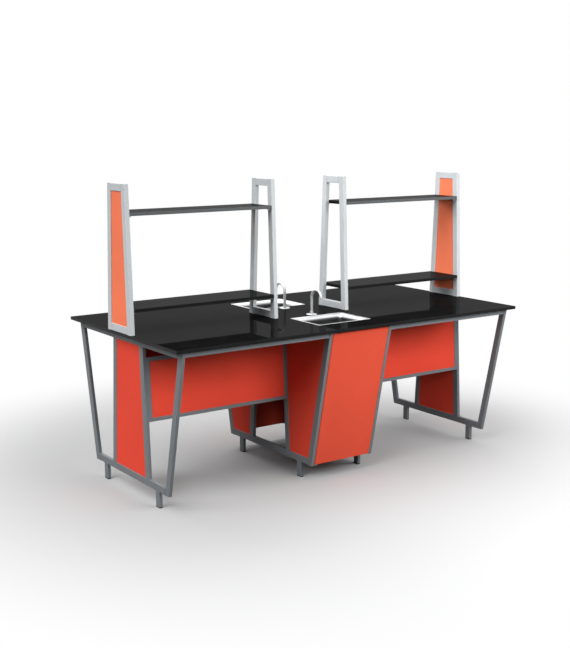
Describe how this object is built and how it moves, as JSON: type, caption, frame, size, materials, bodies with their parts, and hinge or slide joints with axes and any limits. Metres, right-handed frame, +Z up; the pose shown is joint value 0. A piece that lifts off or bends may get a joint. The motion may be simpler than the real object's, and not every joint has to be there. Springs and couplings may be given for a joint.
{
  "type": "lab bench with reagent shelf",
  "caption": "Two-sided laboratory island bench on splayed tube trestles, with sinks, gooseneck taps, panelled sides and a raised reagent shelf along its middle.",
  "frame": {"origin": "on the floor, under the middle of the worktop", "axes": "+X along the bench to the right of its front, +Y to the rear, +Z up"},
  "size_m": [2.37, 1.225, 1.689],
  "materials": {
    "worktop_black": "polished black solid laminate",
    "shelf_black": "polished black solid laminate with a grey edge",
    "frame_grey": "satin grey powder coat",
    "upright_silver": "satin silver powder coat",
    "panel_red": "matt red-orange laminate on board",
    "sink_steel": "satin stainless steel",
    "tap_chrome": "satin chrome",
    "lever_red": "dipped plastic",
    "trap_white": "moulded polypropylene",
    "glide_black": "moulded polyethylene"
  },
  "bodies": {
    "bench": {"worktop": "worktop_black", "left_end_trestle": "frame_grey", "left_end_front_glide": "glide_black", "left_end_rear_glide": "glide_black", "left_mid_trestle": "frame_grey", "left_mid_front_glide": "glide_black", "left_mid_rear_glide": "glide_black", "right_mid_trestle": "frame_grey", "right_mid_front_glide": "glide_black", "right_mid_rear_glide": "glide_black", "right_end_trestle": "frame_grey", "right_end_front_glide": "glide_black", "right_end_rear_glide": "glide_black", "left_end_panel": "panel_red", "right_end_panel": "panel_red", "left_mid_front_side_panel": "panel_red", "left_mid_rear_side_panel": "panel_red", "right_mid_front_side_panel": "panel_red", "right_mid_rear_side_panel": "panel_red", "front_left_rail": "frame_grey", "front_left_modesty_frame": "frame_grey", "front_left_modesty_panel": "panel_red", "front_right_rail": "frame_grey", "front_right_modesty_frame": "frame_grey", "front_right_modesty_panel": "panel_red", "front_door_lower_pivot": "frame_grey", "front_door_upper_pivot": "frame_grey", "front_sink": "sink_steel", "front_sink_waste": "sink_steel", "front_sink_trap": "trap_white", "front_tap_body": "tap_chrome", "rear_left_rail": "frame_grey", "rear_left_modesty_frame": "frame_grey", "rear_left_modesty_panel": "panel_red", "rear_right_rail": "frame_grey", "rear_right_modesty_frame": "frame_grey", "rear_right_modesty_panel": "panel_red", "rear_door_lower_pivot": "frame_grey", "rear_door_upper_pivot": "frame_grey", "rear_sink": "sink_steel", "rear_sink_waste": "sink_steel", "rear_sink_trap": "trap_white", "rear_tap_body": "tap_chrome", "left_end_upright": "upright_silver", "left_mid_upright": "upright_silver", "right_mid_upright": "upright_silver", "right_end_upright": "upright_silver", "left_end_upright_panel": "panel_red", "right_end_upright_panel": "panel_red", "left_lower_shelf": "shelf_black", "left_upper_shelf": "shelf_black", "right_lower_shelf": "shelf_black", "right_upper_shelf": "shelf_black"},
    "front_door": {"front_sink_door": "panel_red"},
    "front_spout": {"front_tap_spout": "tap_chrome"},
    "front_lever": {"front_tap_lever": "lever_red"},
    "rear_door": {"rear_sink_door": "panel_red"},
    "rear_spout": {"rear_tap_spout": "tap_chrome"},
    "rear_lever": {"rear_tap_lever": "lever_red"}
  },
  "joints": [
    {"name": "front_door_swing", "type": "hinge", "parent": "bench", "child": "front_door", "pos_m": [-0.188, -0.41325, 0.09686], "axis": [0, 0.2063, -0.9785], "range_deg": [0, 90]},
    {"name": "front_spout_swivel", "type": "hinge", "parent": "bench", "child": "front_spout", "pos_m": [-0.009, -0.136, 0.912], "axis": [0, 0, 1], "continuous": true},
    {"name": "front_lever_turn", "type": "hinge", "parent": "bench", "child": "front_lever", "pos_m": [0.0043, -0.136, 0.815], "axis": [-1, 0, 0], "range_deg": [0, 90]},
    {"name": "rear_door_swing", "type": "hinge", "parent": "bench", "child": "rear_door", "pos_m": [0.188, 0.41325, 0.09686], "axis": [0, -0.2063, -0.9785], "range_deg": [0, 90]},
    {"name": "rear_spout_swivel", "type": "hinge", "parent": "bench", "child": "rear_spout", "pos_m": [-0.009, 0.136, 0.912], "axis": [0, 0, 1], "continuous": true},
    {"name": "rear_lever_turn", "type": "hinge", "parent": "bench", "child": "rear_lever", "pos_m": [-0.0223, 0.136, 0.815], "axis": [1, 0, 0], "range_deg": [0, 90]}
  ]
}
